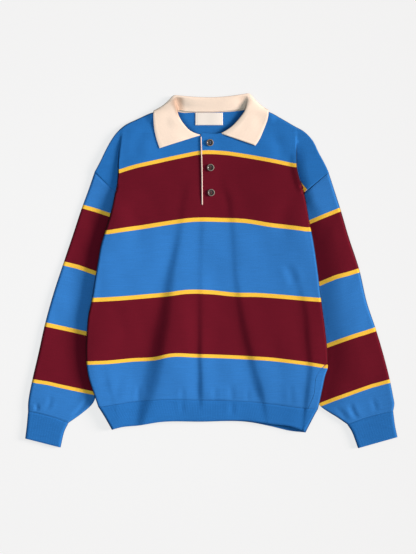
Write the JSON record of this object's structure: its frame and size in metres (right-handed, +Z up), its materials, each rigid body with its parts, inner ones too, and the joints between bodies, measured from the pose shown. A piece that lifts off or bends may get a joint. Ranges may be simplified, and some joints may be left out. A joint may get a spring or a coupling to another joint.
{
  "type": "knitted polo sweater",
  "caption": "Long-sleeved knitted polo sweater laid flat, with a folded collar, a short buttoned placket, and ribbed cuffs and hem.",
  "frame": {"origin": "centre of the bounding box at its base, which is the surface that the sweater lies on", "axes": "+Z up from the surface, +Y towards the collar, +X towards the right sleeve as seen from above"},
  "size_m": [0.782, 0.7427, 0.019],
  "materials": {
    "body_front": "matt fine knit, striped in blue, yellow and maroon",
    "body_back": "matt fine knit, striped in blue, yellow and maroon",
    "hem_rib": "matt ribbed knit",
    "sleeve_left": "matt fine knit, striped in maroon, yellow and blue",
    "sleeve_right": "matt fine knit, striped in maroon, yellow and blue",
    "cuff_left": "matt ribbed knit",
    "cuff_right": "matt ribbed knit",
    "collar": "matt fine knit",
    "placket_edging": "matt knit",
    "neck_label": "smooth woven label, blank",
    "button_top": "polished, dark",
    "button_middle": "polished, dark",
    "button_bottom": "polished, dark"
  },
  "bodies": {
    "root": {"body_front": "body_front", "body_back": "body_back", "hem_rib": "hem_rib", "sleeve_left": "sleeve_left", "sleeve_right": "sleeve_right", "cuff_left": "cuff_left", "cuff_right": "cuff_right", "collar": "collar", "placket_edging": "placket_edging", "neck_label": "neck_label", "button_top": "button_top", "button_middle": "button_middle", "button_bottom": "button_bottom"}
  },
  "joints": []
}
